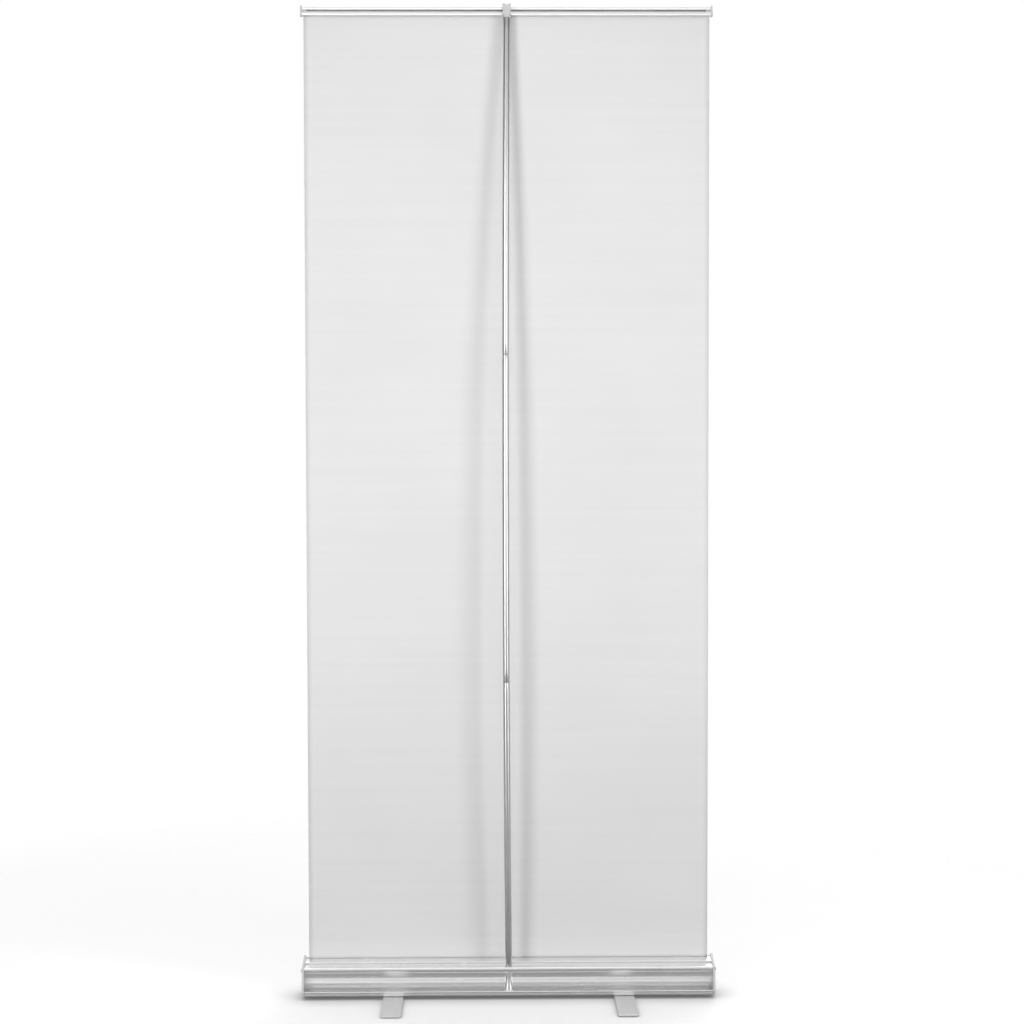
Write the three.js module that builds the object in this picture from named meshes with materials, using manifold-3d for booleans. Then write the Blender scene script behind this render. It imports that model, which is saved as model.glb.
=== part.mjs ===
// Roll-up banner stand: a spring roller in an aluminium cassette, a film banner that
// pulls up out of it, a clamping rail on the banner's top edge, a three-section pole
// behind it and two swivelling feet. Millimetres, +Z up, origin on the floor under the
// middle of the stand. The pole stands on the -Y side, the printed face looks to +Y.
import * as THREE from "three";
import { mergeVertices } from "three/addons/utils/BufferGeometryUtils.js";
import Module from "manifold-3d";

const wasm = await Module();
wasm.setup();

// ---------------------------------------------------------------- driving dimensions
const gap = 0.3; // left between pieces that touch
const sides = 24; // of a round piece

const bannerWidth = 850;
const bannerHeight = 1990; // film in sight, from the cassette's slot to the rail
const filmThickness = 0.3;
const filmTailFloor = 11.5; // lowest point of the film inside the cassette

const footLength = 364;
const footWidth = 42;
const footThickness = 4.5;
const footCornerRadius = 6;
const footTipLength = 30; // stretch at each end where the top slopes down
const footTipDrop = 1.4;
const footEndMargin = 6; // from a stowed foot's tip to the cassette's end

const padRadius = 8;
const padHeight = 1.5;
const padInset = 42; // from the foot's tip to the pad's centre
const padStemRadius = 2.5;
const padStemHeight = 2.2;

const pivotShankRadius = 3;
const pivotHeadRadius = 6;
const pivotHeadHeight = 3;
const pivotNutFlats = 10;
const pivotNutHeight = 5;
const pivotThreadProud = 1.2; // thread standing out of the nut
const washerRadius = 9;
const washerThickness = 1;

const wall = 1.8; // of the cassette's extrusion
const cassetteHeight = 65.8;
const cassetteSideMargin = 6; // cassette past the film, each side
const frontDepth = 10; // from the film's plane to the front face
const slotWidth = 6;
const footPivotDepth = 24; // from the film's plane back to the feet's pivots
const coverInset = 5; // from the rear channel's wall forward to the cover's step
const coverFall = 2.9; // how much the top cover slopes down
const coverLip = 2;
const ledgeDrop = 8.5; // from the cassette's top down to the ledge
const ledgeHeight = 12;
const ledgeLand = 6; // ledge past the pole's socket
const ledgeNoseRadius = 5;
const channelCurve = 2 / 3; // radius of the rear channel's root, as a share of its height
const flangeHeight = 12.3;
const flangeReach = 12.5; // flange past the ledge's nose
const flangeFall = 2.4;
const flangeNose = 2.5;
const flangeGroove = 1.5;
const screwBossRadius = 4.4;

const capThickness = 4.7;
const capOverhang = 1.2; // end cap past the extrusion's outline
const capPeak = 5.5; // end cap above the cassette's top
const capHubRadius = 8;
const capHubHeight = 5.8;

const screwRadius = 1.7;
const screwHeadRadius = 3.6;
const screwHeadHeight = 2.2;
const screwLength = 18;

const rollerRadius = 12.5;
const rollerWall = 1.2;
const rollerEndRoom = 8; // from the tube's end to the cassette's end
const rolledTurns = 2; // turns of film left on the roller
const rollClearance = 1.1; // round the fully wound roll
const plugFlange = 1.7;
const plugDepth = 20;
const stubRadius = 4;
const springShaftRadius = 3.3;
const springShaftLength = 315;
const springCoilRadius = 7.6;
const springWireRadius = 0.9;
const springTurns = 14;
const springPitch = 15;
const springStart = 34; // from the cassette's end to the spring's first turn

const railHeight = 20;
const railDepth = 12;
const railWall = 1.5;
const railSlot = 2.4;
const railWebHeight = 6.8; // of the web between the two chambers
const railGroove = 3.5; // opening of the rear groove
const railSideMargin = 2.5; // rail past the film, each side
const railCapThickness = 3.7;
const railCapOverhang = 1.5;
const railCapSpigot = 10;
const filmInRail = 6; // film gripped inside the rail
const gripStripDepth = 3.6;

const poleRadius = 7;
const poleWall = 1;
const poleBow = 24; // how far the loaded pole bows back at mid-height
const poleSideBow = 4.5; // and to the left
const poleBottomLength = 602;
const poleMiddleLength = 688;
const ferruleReach = 34; // ferrule inside each of the two tubes that it joins
const poleSeatGap = 1.8; // from the ledge up to the tube's end

const seatPinRadius = 4.6;
const seatPinLength = 27;
const seatPlugDepth = 22;
const socketWall = 1.7;
const socketBoreClearance = 0.7;
const socketClearance = 1; // from the rear channel's wall to the socket
const socketFootFlare = 2;
const socketFootHeight = 7;
const socketCollarFlare = 1.2;
const socketCollarHeight = 0.6;

const headWidth = 18;
const headRise = 3.2; // head above the rail's top
const headSkirt = 1.5; // head below the rail's underside
const headSpigot = 26;
const headSeatGap = 0.9; // from the tube's slanting end up to the head
const fingerWidth = 12;
const fingerThickness = 2.5;
const fingerReach = 4; // finger inside the rail's groove
const bungeeRadius = 1.5;

// ---------------------------------------------------------------- derived places
const footBottom = padHeight + gap;
const footTop = footBottom + footThickness;
const cassetteBottom = footTop + washerThickness + 2 * gap;
const cassetteTop = cassetteBottom + cassetteHeight;
const cassetteHalf = bannerWidth / 2 + cassetteSideMargin;
const footPivotX = cassetteHalf - footEndMargin - footLength / 2;
const ledgeTop = cassetteTop - ledgeDrop;
const ledgeBottom = ledgeTop - ledgeHeight;
const flangeTop = cassetteBottom + flangeHeight;
const railBottom = cassetteTop + bannerHeight;
const railHalf = bannerWidth / 2 + railSideMargin;
const rollRadius = rollerRadius + gap + rolledTurns * filmThickness;
const rollerDepth = rollRadius + gap + filmThickness / 2;
const rollerHalf = cassetteHalf - rollerEndRoom;
const woundRadius = Math.sqrt(rollRadius ** 2 + (bannerHeight * filmThickness) / Math.PI);
const pivotTop = cassetteBottom + wall + gap + pivotNutHeight + pivotThreadProud;
const rollerHeight = pivotTop + rollClearance / 2 + woundRadius;
const socketBore = seatPinRadius + socketBoreClearance;
const socketRadius = socketBore + socketWall;
const channelDepth = rollerDepth + woundRadius + rollClearance + wall;
const coverDepth = channelDepth - coverInset;
const poleSeatDepth = channelDepth + socketClearance + socketRadius;
const ledgeReach = poleSeatDepth + socketRadius + ledgeLand;
const channelRadius = channelCurve * (ledgeBottom - flangeTop);
const rearDepth = ledgeReach + flangeReach;
const poleHeadDepth = railDepth / 2 + gap + poleRadius;

// ---------------------------------------------------------------- finishes
const finish = (color, roughness, metalness) =>
  new THREE.MeshStandardMaterial({ color, roughness, metalness });
const anodised = finish(0xc6c8ca, 0.35, 0.9);
const tubeAlloy = finish(0xd2d4d6, 0.25, 0.95);
const steel = finish(0x9fa3a7, 0.35, 1);
const greyPlastic = finish(0xb4b7b9, 0.55, 0);
const film = finish(0xe6e6e4, 0.6, 0);
const rubber = finish(0x2a2a2b, 0.9, 0);
const nylon = finish(0xeeeeea, 0.5, 0);
const elastic = finish(0x1d1d1f, 0.85, 0);

// ---------------------------------------------------------------- geometry helpers
const at = (x, y) => new THREE.Vector2(x, y);

// Points of an arc from one angle to another, in degrees.
function arc(x, y, radius, from, to, steps = 6) {
  return Array.from({ length: steps + 1 }, (_, i) => {
    const a = THREE.MathUtils.degToRad(from + ((to - from) * i) / steps);
    return at(x + radius * Math.cos(a), y + radius * Math.sin(a));
  });
}

const circle = (radius, x = 0, y = 0, count = sides) =>
  arc(x, y, radius, 0, 360, count).slice(0, -1);

// A rectangle with rounded corners, by its limits and one radius.
function roundedBox(x0, x1, y0, y1, radius) {
  return [
    ...arc(x1 - radius, y0 + radius, radius, -90, 0, 4),
    ...arc(x1 - radius, y1 - radius, radius, 0, 90, 4),
    ...arc(x0 + radius, y1 - radius, radius, 90, 180, 4),
    ...arc(x0 + radius, y0 + radius, radius, 180, 270, 4),
  ];
}

function shapeOf(points, holes = []) {
  const shape = new THREE.Shape(points);
  holes.forEach((hole) => shape.holes.push(new THREE.Path(hole)));
  return shape;
}

// The geometry as one closed surface: shared vertices merged, flat triangles dropped.
function closed(geometry) {
  const bare = geometry.index ? geometry.toNonIndexed() : geometry.clone();
  bare.deleteAttribute("normal");
  bare.deleteAttribute("uv");
  const merged = mergeVertices(bare, 1e-3);
  const index = merged.index.array;
  const kept = [];
  for (let i = 0; i < index.length; i += 3) {
    const [a, b, c] = [index[i], index[i + 1], index[i + 2]];
    if (a !== b && b !== c && c !== a) kept.push(a, b, c);
  }
  merged.setIndex(kept);
  return merged;
}

function toSolid(geometry) {
  const surface = closed(geometry);
  return new wasm.Manifold(
    new wasm.Mesh({
      numProp: 3,
      vertProperties: new Float32Array(surface.attributes.position.array),
      triVerts: new Uint32Array(surface.index.array),
    }),
  );
}

function toGeometry(solid) {
  const mesh = solid.getMesh();
  const stride = mesh.numProp;
  const positions = new Float32Array(mesh.numVert * 3);
  for (let i = 0; i < mesh.numVert; i++) {
    positions.set(mesh.vertProperties.subarray(i * stride, i * stride + 3), i * 3);
  }
  const geometry = new THREE.BufferGeometry();
  geometry.setAttribute("position", new THREE.BufferAttribute(positions, 3));
  geometry.setIndex(new THREE.BufferAttribute(new Uint32Array(mesh.triVerts), 1));
  return geometry;
}

const cut = (body, ...tools) =>
  toGeometry(tools.reduce((left, tool) => left.subtract(toSolid(tool)), toSolid(body)));
const join = (body, ...more) =>
  toGeometry(more.reduce((left, extra) => left.add(toSolid(extra)), toSolid(body)));
const common = (a, b) => toGeometry(toSolid(a).intersect(toSolid(b)));

// A section drawn in (Y, Z), extruded from x0 to x1.
const sectionToX = new THREE.Matrix4().makeBasis(
  new THREE.Vector3(0, 1, 0),
  new THREE.Vector3(0, 0, 1),
  new THREE.Vector3(1, 0, 0),
);
function alongX(shape, x0, x1) {
  const options = { depth: x1 - x0, bevelEnabled: false };
  return new THREE.ExtrudeGeometry(shape, options)
    .applyMatrix4(sectionToX)
    .translate(x0, 0, 0);
}

// An outline drawn in (X, Y), extruded from z0 to z1.
function alongZ(shape, z0, z1) {
  const options = { depth: z1 - z0, bevelEnabled: false };
  return new THREE.ExtrudeGeometry(shape, options).translate(0, 0, z0);
}

// A profile of (radius, height) points turned about Z.
function turned(profile, count = sides) {
  const points = profile.map(([r, z]) => at(r, z));
  return new THREE.LatheGeometry(points, count).rotateX(Math.PI / 2);
}

// The same, turned about X: the profile's heights run along X.
const turnedX = (profile, count = sides) => turned(profile, count).rotateY(Math.PI / 2);

function box(x0, x1, y0, y1, z0, z1) {
  return new THREE.BoxGeometry(x1 - x0, y1 - y0, z1 - z0).translate(
    (x0 + x1) / 2,
    (y0 + y1) / 2,
    (z0 + z1) / 2,
  );
}

const cylinderZ = (radius, z0, z1, x = 0, y = 0) =>
  turned([[0, z0], [radius, z0], [radius, z1], [0, z1]]).translate(x, y, 0);
const cylinderX = (radius, x0, x1, y, z) =>
  turnedX([[0, x0], [radius, x0], [radius, x1], [0, x1]]).translate(0, y, z);

function piece(name, geometry, material) {
  const mesh = new THREE.Mesh(closed(geometry), material);
  mesh.name = name;
  return mesh;
}

// ---------------------------------------------------------------- the pole's line
const poleFoot = new THREE.Vector3(0, -poleSeatDepth, ledgeTop + poleSeatGap);
const poleTip = new THREE.Vector3(0, -poleHeadDepth, railBottom - headSkirt - headSeatGap);
const poleSpan = poleTip.z - poleFoot.z;
const poleBend = new THREE.Vector3(-poleSideBow, -poleBow, 0);

// The pole's centre line, by the share of its height: a shallow parabola.
function polePoint(share, target = new THREE.Vector3()) {
  return target
    .lerpVectors(poleFoot, poleTip, share)
    .addScaledVector(poleBend, 4 * share * (1 - share));
}

function poleDirection(share) {
  return poleTip
    .clone()
    .sub(poleFoot)
    .addScaledVector(poleBend, 4 * (1 - 2 * share))
    .normalize();
}

// Where the pole's pin stands in the ledge, halfway down the pin.
const seat = poleFoot
  .clone()
  .addScaledVector(poleDirection(0), -poleSeatGap - seatPinLength / 2);

// ---------------------------------------------------------------- cassette
// Where the end caps' screws run along the extrusion, as (Y, Z).
const screwPlaces = [
  at(frontDepth - wall - screwBossRadius + 1.2, cassetteBottom + wall + screwBossRadius - 1.2),
  at(-ledgeReach + ledgeNoseRadius + 0.5, (ledgeTop + ledgeBottom) / 2),
];

function frontCurve(offset) {
  const y = frontDepth - offset;
  const low = new THREE.QuadraticBezierCurve(
    at(2, cassetteBottom + offset),
    at(y, cassetteBottom + offset),
    at(y, cassetteBottom + 0.26 * cassetteHeight),
  );
  const high = new THREE.QuadraticBezierCurve(
    at(y, cassetteBottom + 0.68 * cassetteHeight),
    at(y, cassetteTop - offset),
    at(slotWidth / 2, cassetteTop - offset),
  );
  return [...low.getPoints(5), ...high.getPoints(8)];
}

// The rear channel: its back wall, its curved root and the flange's sloping top.
function channelLine(offset) {
  const centre = at(-channelDepth - channelRadius, flangeTop + channelRadius);
  return [
    at(-channelDepth + offset, ledgeBottom),
    ...arc(centre.x, centre.y, channelRadius + offset, 0, -90, 8),
    at(-rearDepth + flangeNose, flangeTop - flangeFall - offset),
  ];
}

function cassetteOutline() {
  const grooveTop = flangeTop - flangeFall - flangeNose - 1;
  return [
    at(-slotWidth / 2, cassetteTop),
    at(-coverDepth + coverLip, cassetteTop - coverFall),
    at(-coverDepth, cassetteTop - coverFall - coverLip),
    at(-coverDepth, ledgeTop),
    ...arc(-ledgeReach + ledgeNoseRadius, ledgeTop - ledgeNoseRadius, ledgeNoseRadius, 90, 180),
    ...arc(-ledgeReach + ledgeNoseRadius, ledgeBottom + ledgeNoseRadius, ledgeNoseRadius, 180, 270),
    ...channelLine(0),
    at(-rearDepth, flangeTop - flangeFall - flangeNose),
    at(-rearDepth, grooveTop),
    at(-rearDepth + flangeGroove, grooveTop - 0.6),
    at(-rearDepth + flangeGroove, grooveTop - 1.6),
    at(-rearDepth, grooveTop - 2.2),
    at(-rearDepth, cassetteBottom + 1.2),
    at(-rearDepth + 1.2, cassetteBottom),
    ...frontCurve(0),
    ...frontCurve(wall).reverse(),
    at(-channelDepth + wall, cassetteBottom + wall),
    at(-channelDepth + wall, ledgeTop - wall),
    at(-coverDepth + wall, ledgeTop - wall),
    at(-coverDepth + wall, cassetteTop - coverFall - wall),
    at(-slotWidth / 2, cassetteTop - wall),
  ];
}

// The closed chamber in the flange, under the rear channel.
function flangeChamber() {
  const inner = -channelDepth - 2;
  const roof = channelLine(wall).filter((p) => p.x < inner && p.x > -rearDepth + flangeNose);
  return [
    at(inner, cassetteBottom + wall),
    at(inner, roof[0].y + 1),
    ...roof,
    at(-rearDepth + flangeGroove + wall, flangeTop - flangeFall - wall),
    at(-rearDepth + flangeGroove + wall, cassetteBottom + wall),
  ];
}

function cassetteHousing() {
  const chamberY = -ledgeReach + wall;
  const ledgeChamber = roundedBox(
    chamberY,
    -channelDepth,
    ledgeBottom + wall,
    ledgeTop - wall,
    ledgeNoseRadius - wall,
  );
  const profile = shapeOf(cassetteOutline(), [ledgeChamber, flangeChamber()]);
  const bosses = screwPlaces.map((p) =>
    alongX(shapeOf(circle(screwBossRadius, p.x, p.y, 16)), -cassetteHalf, cassetteHalf),
  );
  const bores = screwPlaces.map((p) =>
    alongX(shapeOf(circle(screwRadius + gap, p.x, p.y, 12)), -cassetteHalf - 1, cassetteHalf + 1),
  );
  const socketHole = cylinderZ(
    socketRadius + gap,
    ledgeBottom - 1,
    ledgeTop + 1,
    seat.x,
    seat.y,
  );
  const pivotHoles = [-1, 1].map((side) =>
    cylinderZ(
      pivotShankRadius + gap,
      cassetteBottom - 1,
      cassetteBottom + wall + 1,
      side * footPivotX,
      -footPivotDepth,
    ),
  );
  const extrusion = alongX(profile, -cassetteHalf, cassetteHalf);
  return cut(join(extrusion, ...bosses), ...bores, socketHole, ...pivotHoles);
}

// One end cap, drawn for the +X end: a plate, a hub for the roller and screw holes.
function endCap(hubBore) {
  const outline = [
    at(-slotWidth, cassetteTop + capPeak),
    at(-coverDepth, cassetteTop - coverFall + capOverhang),
    ...arc(
      -ledgeReach + ledgeNoseRadius,
      ledgeTop - ledgeNoseRadius,
      ledgeNoseRadius + capOverhang,
      80,
      165,
      5,
    ),
    at(-rearDepth - capOverhang, flangeTop - flangeFall),
    at(-rearDepth - capOverhang, cassetteBottom + 1.5),
    at(-rearDepth + 0.5, cassetteBottom - gap),
    at(1, cassetteBottom - gap),
    ...arc(frontDepth - 8 + capOverhang, cassetteBottom - gap + 8, 8, -80, 0, 5),
    at(frontDepth + capOverhang, cassetteTop - 20),
    ...arc(frontDepth + capOverhang - 9, cassetteTop - 12, 9, 10, 60, 4),
    at(slotWidth / 2, cassetteTop + capPeak),
  ];
  const inner = cassetteHalf + gap;
  const plate = alongX(shapeOf(outline), inner, inner + capThickness);
  const hub = cylinderX(capHubRadius, inner - capHubHeight, inner + 1, -rollerDepth, rollerHeight);
  const bore = cylinderX(
    hubBore,
    inner - capHubHeight - 1,
    inner + capThickness / 2,
    -rollerDepth,
    rollerHeight,
  );
  const holes = screwPlaces.map((p) =>
    cylinderX(screwRadius + gap, inner - 1, inner + capThickness + 1, p.x, p.y),
  );
  return cut(join(plate, hub), bore, ...holes);
}

function capScrew() {
  const face = cassetteHalf + gap + capThickness + gap / 2;
  return turnedX(
    [
      [0, face - screwLength],
      [screwRadius * 0.6, face - screwLength],
      [screwRadius, face - screwLength + 2.5],
      [screwRadius, face],
      [screwHeadRadius, face],
      [screwHeadRadius, face + screwHeadHeight * 0.5],
      [screwHeadRadius * 0.6, face + screwHeadHeight],
      [0, face + screwHeadHeight],
    ],
    16,
  );
}

function poleSocket() {
  const top = ledgeTop + gap / 2;
  const floor = ledgeTop - seatPinLength - 1;
  const foot = flangeTop - 2;
  const footRadius = socketRadius + socketFootFlare;
  const collarRadius = socketRadius + socketCollarFlare;
  const body = turned([
    [0, foot],
    [footRadius, foot],
    [footRadius, flangeTop + socketFootHeight],
    [socketRadius, flangeTop + socketFootHeight + 3],
    [socketRadius, top],
    [collarRadius, top],
    [collarRadius, top + socketCollarHeight],
    [socketBore, top + socketCollarHeight],
    [socketBore, floor],
    [0, floor],
  ]).translate(seat.x, seat.y, 0);
  const ground = shapeOf([
    ...channelLine(-gap),
    at(-rearDepth, cassetteBottom),
    at(0, cassetteBottom),
    at(0, ledgeBottom),
  ]);
  return cut(body, alongX(ground, -3 * footRadius, 3 * footRadius));
}

// ---------------------------------------------------------------- roller and spring
const springShaft = () => {
  const start = -cassetteHalf - gap - capThickness / 2 + gap;
  return cylinderX(springShaftRadius, start, start + springShaftLength, 0, 0);
};

function torsionSpring() {
  const start = -cassetteHalf + springStart;
  const length = springTurns * springPitch;
  class Coil extends THREE.Curve {
    getPoint(t, target = new THREE.Vector3()) {
      const a = 2 * Math.PI * springTurns * t;
      const y = springCoilRadius * Math.cos(a);
      const z = springCoilRadius * Math.sin(a);
      return target.set(start + length * t, y, z);
    }
  }
  const options = { steps: springTurns * 10, extrudePath: new Coil(), bevelEnabled: false };
  return new THREE.ExtrudeGeometry(shapeOf(circle(springWireRadius, 0, 0, 6)), options);
}

const tubeAlongX = (outer, inner, half) =>
  turnedX([[inner, -half], [outer, -half], [outer, half], [inner, half], [inner, -half]]);

// A roller plug for the +X end: a flange, a spigot in the tube and a bore or a stub axle.
function rollerPlug(bore) {
  const face = rollerHalf + gap;
  const spigot = rollerRadius - rollerWall - gap;
  const outside = [
    [spigot, face - plugDepth],
    [spigot, face],
    [rollerRadius, face],
    [rollerRadius, face + plugFlange],
  ];
  if (bore) {
    return turnedX([
      [bore, face - plugDepth],
      ...outside,
      [bore, face + plugFlange],
      [bore, face - plugDepth],
    ]);
  }
  const stubEnd = cassetteHalf + capThickness / 2;
  return turnedX([
    [0, face - plugDepth],
    ...outside,
    [stubRadius, face + plugFlange],
    [stubRadius, stubEnd],
    [0, stubEnd],
  ]);
}

// ---------------------------------------------------------------- feet
// A foot about its own pivot, lying along Y.
function footBar() {
  const half = footLength / 2;
  const outline = roundedBox(-footWidth / 2, footWidth / 2, -half, half, footCornerRadius);
  const plan = alongZ(shapeOf(outline), footBottom, footTop);
  const side = shapeOf([
    at(-half, footBottom),
    at(half, footBottom),
    at(half, footTop - footTipDrop),
    at(half - footTipLength, footTop),
    at(-half + footTipLength, footTop),
    at(-half, footTop - footTipDrop),
  ]);
  const bar = common(plan, alongX(side, -footWidth, footWidth));
  const countersink = turned([
    [0, footBottom - 1],
    [pivotHeadRadius + 1 + gap, footBottom - 1],
    [pivotShankRadius + gap, footBottom + pivotHeadHeight + gap],
    [pivotShankRadius + gap, footTop + 1],
    [0, footTop + 1],
  ]);
  const stemHoles = [-1, 1].map((end) =>
    cylinderZ(
      padStemRadius + gap,
      footBottom - 1,
      footBottom + padStemHeight + gap,
      0,
      end * (half - padInset),
    ),
  );
  return cut(bar, countersink, ...stemHoles);
}

const footPad = () =>
  turned([
    [0, 0],
    [padRadius - 1, 0],
    [padRadius, 0.6],
    [padRadius, padHeight],
    [padStemRadius, padHeight],
    [padStemRadius, footBottom + padStemHeight],
    [0, footBottom + padStemHeight],
  ]);

function pivotBolt() {
  const under = footBottom + 0.2;
  return turned([
    [0, under],
    [pivotHeadRadius, under],
    [pivotShankRadius, under + pivotHeadHeight],
    [pivotShankRadius, pivotTop],
    [0, pivotTop],
  ]);
}

function pivotNut() {
  const floor = cassetteBottom + wall + gap;
  const hexagon = circle(pivotNutFlats / Math.sqrt(3), 0, 0, 6);
  const bore = circle(pivotShankRadius + gap, 0, 0, 16);
  return alongZ(shapeOf(hexagon, [bore]), floor, floor + pivotNutHeight);
}

function pivotWasher() {
  const ring = shapeOf(circle(washerRadius), [circle(pivotShankRadius + gap)]);
  return alongZ(ring, footTop + gap, footTop + gap + washerThickness);
}

// ---------------------------------------------------------------- rail
// The rail's section, with heights counted from its underside.
function railProfile() {
  const half = railDepth / 2;
  const inside = half - railWall;
  const webTop = railWebHeight + railWall;
  const grooveTop = webTop + railGroove;
  const roof = railHeight - railWall;
  const slot = railSlot / 2;
  const outline = [
    at(slot, 0),
    ...arc(half - 1, 1, 1, -90, 0, 3),
    ...arc(half - 3, railHeight - 3, 3, 0, 90),
    ...arc(-half + 3, railHeight - 3, 3, 90, 180),
    at(-half, grooveTop),
    at(-inside, grooveTop),
    at(-inside, roof),
    at(inside, roof),
    at(inside, webTop),
    at(-half, webTop),
    ...arc(-half + 1, 1, 1, 180, 270, 3),
    at(-slot, 0),
    at(-slot, railWall),
    at(-inside, railWall),
    at(-inside, railWebHeight),
    at(inside, railWebHeight),
    at(inside, railWall),
    at(slot, railWall),
  ];
  return alongX(shapeOf(outline), -railHalf, railHalf).translate(0, 0, railBottom);
}

function gripStrip() {
  const near = filmThickness / 2 + gap;
  const low = railBottom + railWall + gap;
  const high = railBottom + railWebHeight - gap;
  const far = Math.min(near + gripStripDepth, railDepth / 2 - railWall - gap);
  return box(-bannerWidth / 2, bannerWidth / 2, near, far, low, high);
}

function railCap() {
  const half = railDepth / 2 + 1;
  const low = railBottom - railCapOverhang;
  const high = railBottom + railHeight + railCapOverhang;
  const face = railHalf + gap;
  const outline = roundedBox(-half, half, low, high, 3);
  const plate = alongX(shapeOf(outline), face, face + railCapThickness);
  const inside = railDepth / 2 - railWall - gap;
  const spigot = box(
    face - railCapSpigot,
    face + 1,
    -inside,
    inside,
    railBottom + railWebHeight + railWall + gap,
    railBottom + railHeight - railWall - gap,
  );
  return join(plate, spigot);
}

// ---------------------------------------------------------------- pole
// A stretch of the centre line between two lengths along the pole.
class PoleStretch extends THREE.Curve {
  constructor(from, to) {
    super();
    this.from = from / poleSpan;
    this.to = to / poleSpan;
  }
  getPoint(t, target = new THREE.Vector3()) {
    return polePoint(this.from + (this.to - this.from) * t, target);
  }
}

function poleTube(outer, inner, from, to, steps) {
  const ring = shapeOf(circle(outer, 0, 0, 20), [circle(inner, 0, 0, 20)]);
  const options = { steps, extrudePath: new PoleStretch(from, to), bevelEnabled: false };
  return new THREE.ExtrudeGeometry(ring, options);
}

// Puts a piece made about the origin, pointing up, on the pole's line.
function onPole(geometry, along) {
  const share = along / poleSpan;
  const turn = new THREE.Quaternion().setFromUnitVectors(
    new THREE.Vector3(0, 0, 1),
    poleDirection(share),
  );
  const spot = polePoint(share);
  return geometry.applyQuaternion(turn).translate(spot.x, spot.y, spot.z);
}

const tubeBore = poleRadius - poleWall;
const plugRadius = tubeBore - gap;
const topJoint = poleBottomLength + poleMiddleLength;

function seatPlug() {
  const ledge = -poleSeatGap;
  return onPole(
    turned([
      [0, ledge - seatPinLength],
      [seatPinRadius - 1, ledge - seatPinLength],
      [seatPinRadius, ledge - seatPinLength + 1],
      [seatPinRadius, ledge + gap + socketCollarHeight],
      [poleRadius - 0.5, -gap],
      [plugRadius, -gap],
      [plugRadius, seatPlugDepth],
      [0, seatPlugDepth],
    ]),
    0,
  );
}

function poleHead() {
  const low = railBottom - headSkirt;
  const high = railBottom + railHeight + headRise;
  const front = -railDepth / 2 - gap;
  const rear = -2 * poleHeadDepth - front;
  const outline = roundedBox(-headWidth / 2, headWidth / 2, low, high, 3);
  const block = alongZ(shapeOf(outline), 0, front - rear)
    .rotateX(Math.PI / 2)
    .translate(0, front, 0);
  const fingerLow = railBottom + railWebHeight + railWall + (railGroove - fingerThickness) / 2;
  const finger = box(
    -fingerWidth / 2,
    fingerWidth / 2,
    front - 2,
    -railDepth / 2 + fingerReach,
    fingerLow,
    fingerLow + fingerThickness,
  );
  const spigot = onPole(cylinderZ(plugRadius, -headSpigot, 2), poleSpan);
  return join(block, finger, spigot);
}

// ---------------------------------------------------------------- assembly
function mirrored(name, geometry, material) {
  const mesh = piece(name, geometry, material);
  mesh.scale.x = -1;
  return mesh;
}

function cassetteGroup() {
  const group = new THREE.Group();
  group.add(piece("cassette_housing", cassetteHousing(), anodised));
  group.add(mirrored("left_end_cap", endCap(springShaftRadius + gap), greyPlastic));
  group.add(piece("right_end_cap", endCap(stubRadius + gap), greyPlastic));
  ["front", "rear"].forEach((place, i) => {
    const { x: y, y: z } = screwPlaces[i];
    const right = piece(`right_cap_screw_${place}`, capScrew(), steel);
    const left = mirrored(`left_cap_screw_${place}`, capScrew(), steel);
    right.position.set(0, y, z);
    left.position.set(0, y, z);
    group.add(right, left);
  });
  group.add(piece("pole_socket", poleSocket(), tubeAlloy));
  [-1, 1].forEach((side) => {
    const name = side < 0 ? "left" : "right";
    const pivot = new THREE.Group();
    pivot.position.set(side * footPivotX, -footPivotDepth, 0);
    pivot.add(piece(`${name}_foot_pivot_bolt`, pivotBolt(), steel));
    pivot.add(piece(`${name}_foot_pivot_nut`, pivotNut(), steel));
    pivot.add(piece(`${name}_foot_washer`, pivotWasher(), nylon));
    group.add(pivot);
  });
  return group;
}

function rollerGroup() {
  const group = new THREE.Group();
  group.position.set(0, -rollerDepth, rollerHeight);
  group.add(piece("spring_shaft", springShaft(), steel));
  group.add(piece("torsion_spring", torsionSpring(), steel));
  const tube = tubeAlongX(rollerRadius, rollerRadius - rollerWall, rollerHalf);
  group.add(piece("roller_tube", tube, steel));
  group.add(mirrored("roller_spring_plug", rollerPlug(springShaftRadius + gap), nylon));
  group.add(piece("roller_axle_plug", rollerPlug(0), nylon));
  const roll = tubeAlongX(rollRadius, rollerRadius + gap, rollerHalf - 1);
  group.add(piece("film_roll", roll, film));
  return group;
}

function footGroup(name, side) {
  const group = new THREE.Group();
  group.position.set(side * footPivotX, -footPivotDepth, 0);
  group.add(piece(`${name}_foot`, footBar(), anodised));
  [["rear", -1], ["front", 1]].forEach(([end, sign]) => {
    const pad = piece(`${name}_foot_${end}_pad`, footPad(), rubber);
    pad.position.y = sign * (footLength / 2 - padInset);
    group.add(pad);
  });
  return group;
}

function bannerSheet() {
  const half = bannerWidth / 2;
  const thin = filmThickness / 2;
  return box(-half, half, -thin, thin, filmTailFloor, railBottom + filmInRail);
}

function railGroup() {
  const group = new THREE.Group();
  group.add(piece("banner_sheet", bannerSheet(), film));
  group.add(piece("rail_profile", railProfile(), anodised));
  group.add(piece("rail_grip_strip", gripStrip(), nylon));
  group.add(mirrored("left_rail_cap", railCap(), greyPlastic));
  group.add(piece("right_rail_cap", railCap(), greyPlastic));
  return group;
}

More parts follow.
